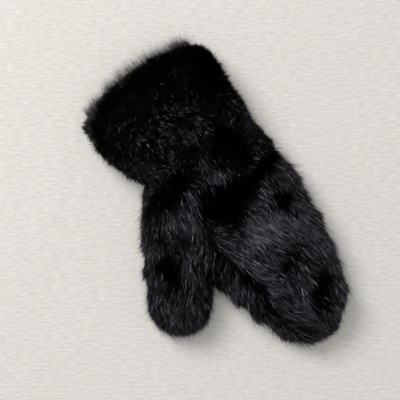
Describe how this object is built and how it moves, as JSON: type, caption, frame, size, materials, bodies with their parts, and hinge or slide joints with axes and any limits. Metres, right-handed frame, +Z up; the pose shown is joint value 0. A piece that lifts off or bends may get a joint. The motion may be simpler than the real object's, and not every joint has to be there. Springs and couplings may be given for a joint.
{
  "type": "fur mitten",
  "caption": "Long-haired fur mitten for the left hand, lying on its palm, with a wide open cuff and a long thumb that stands apart from the fingers.",
  "frame": {"origin": "middle of the footprint, on the surface that the mitten lies on", "axes": "+Z up, +Y towards the mouth of the cuff, -Y towards the fingertip, -X towards the thumb"},
  "size_m": [0.2056, 0.3414, 0.0698],
  "materials": {
    "hand_fur": "soft black fur with the nap towards the fingertips",
    "cuff_fur": "deep black fur that parts near the mouth"
  },
  "bodies": {
    "root": {"back_panel": "hand_fur", "palm_panel": "hand_fur", "thumb": "hand_fur", "cuff": "cuff_fur"}
  },
  "joints": []
}
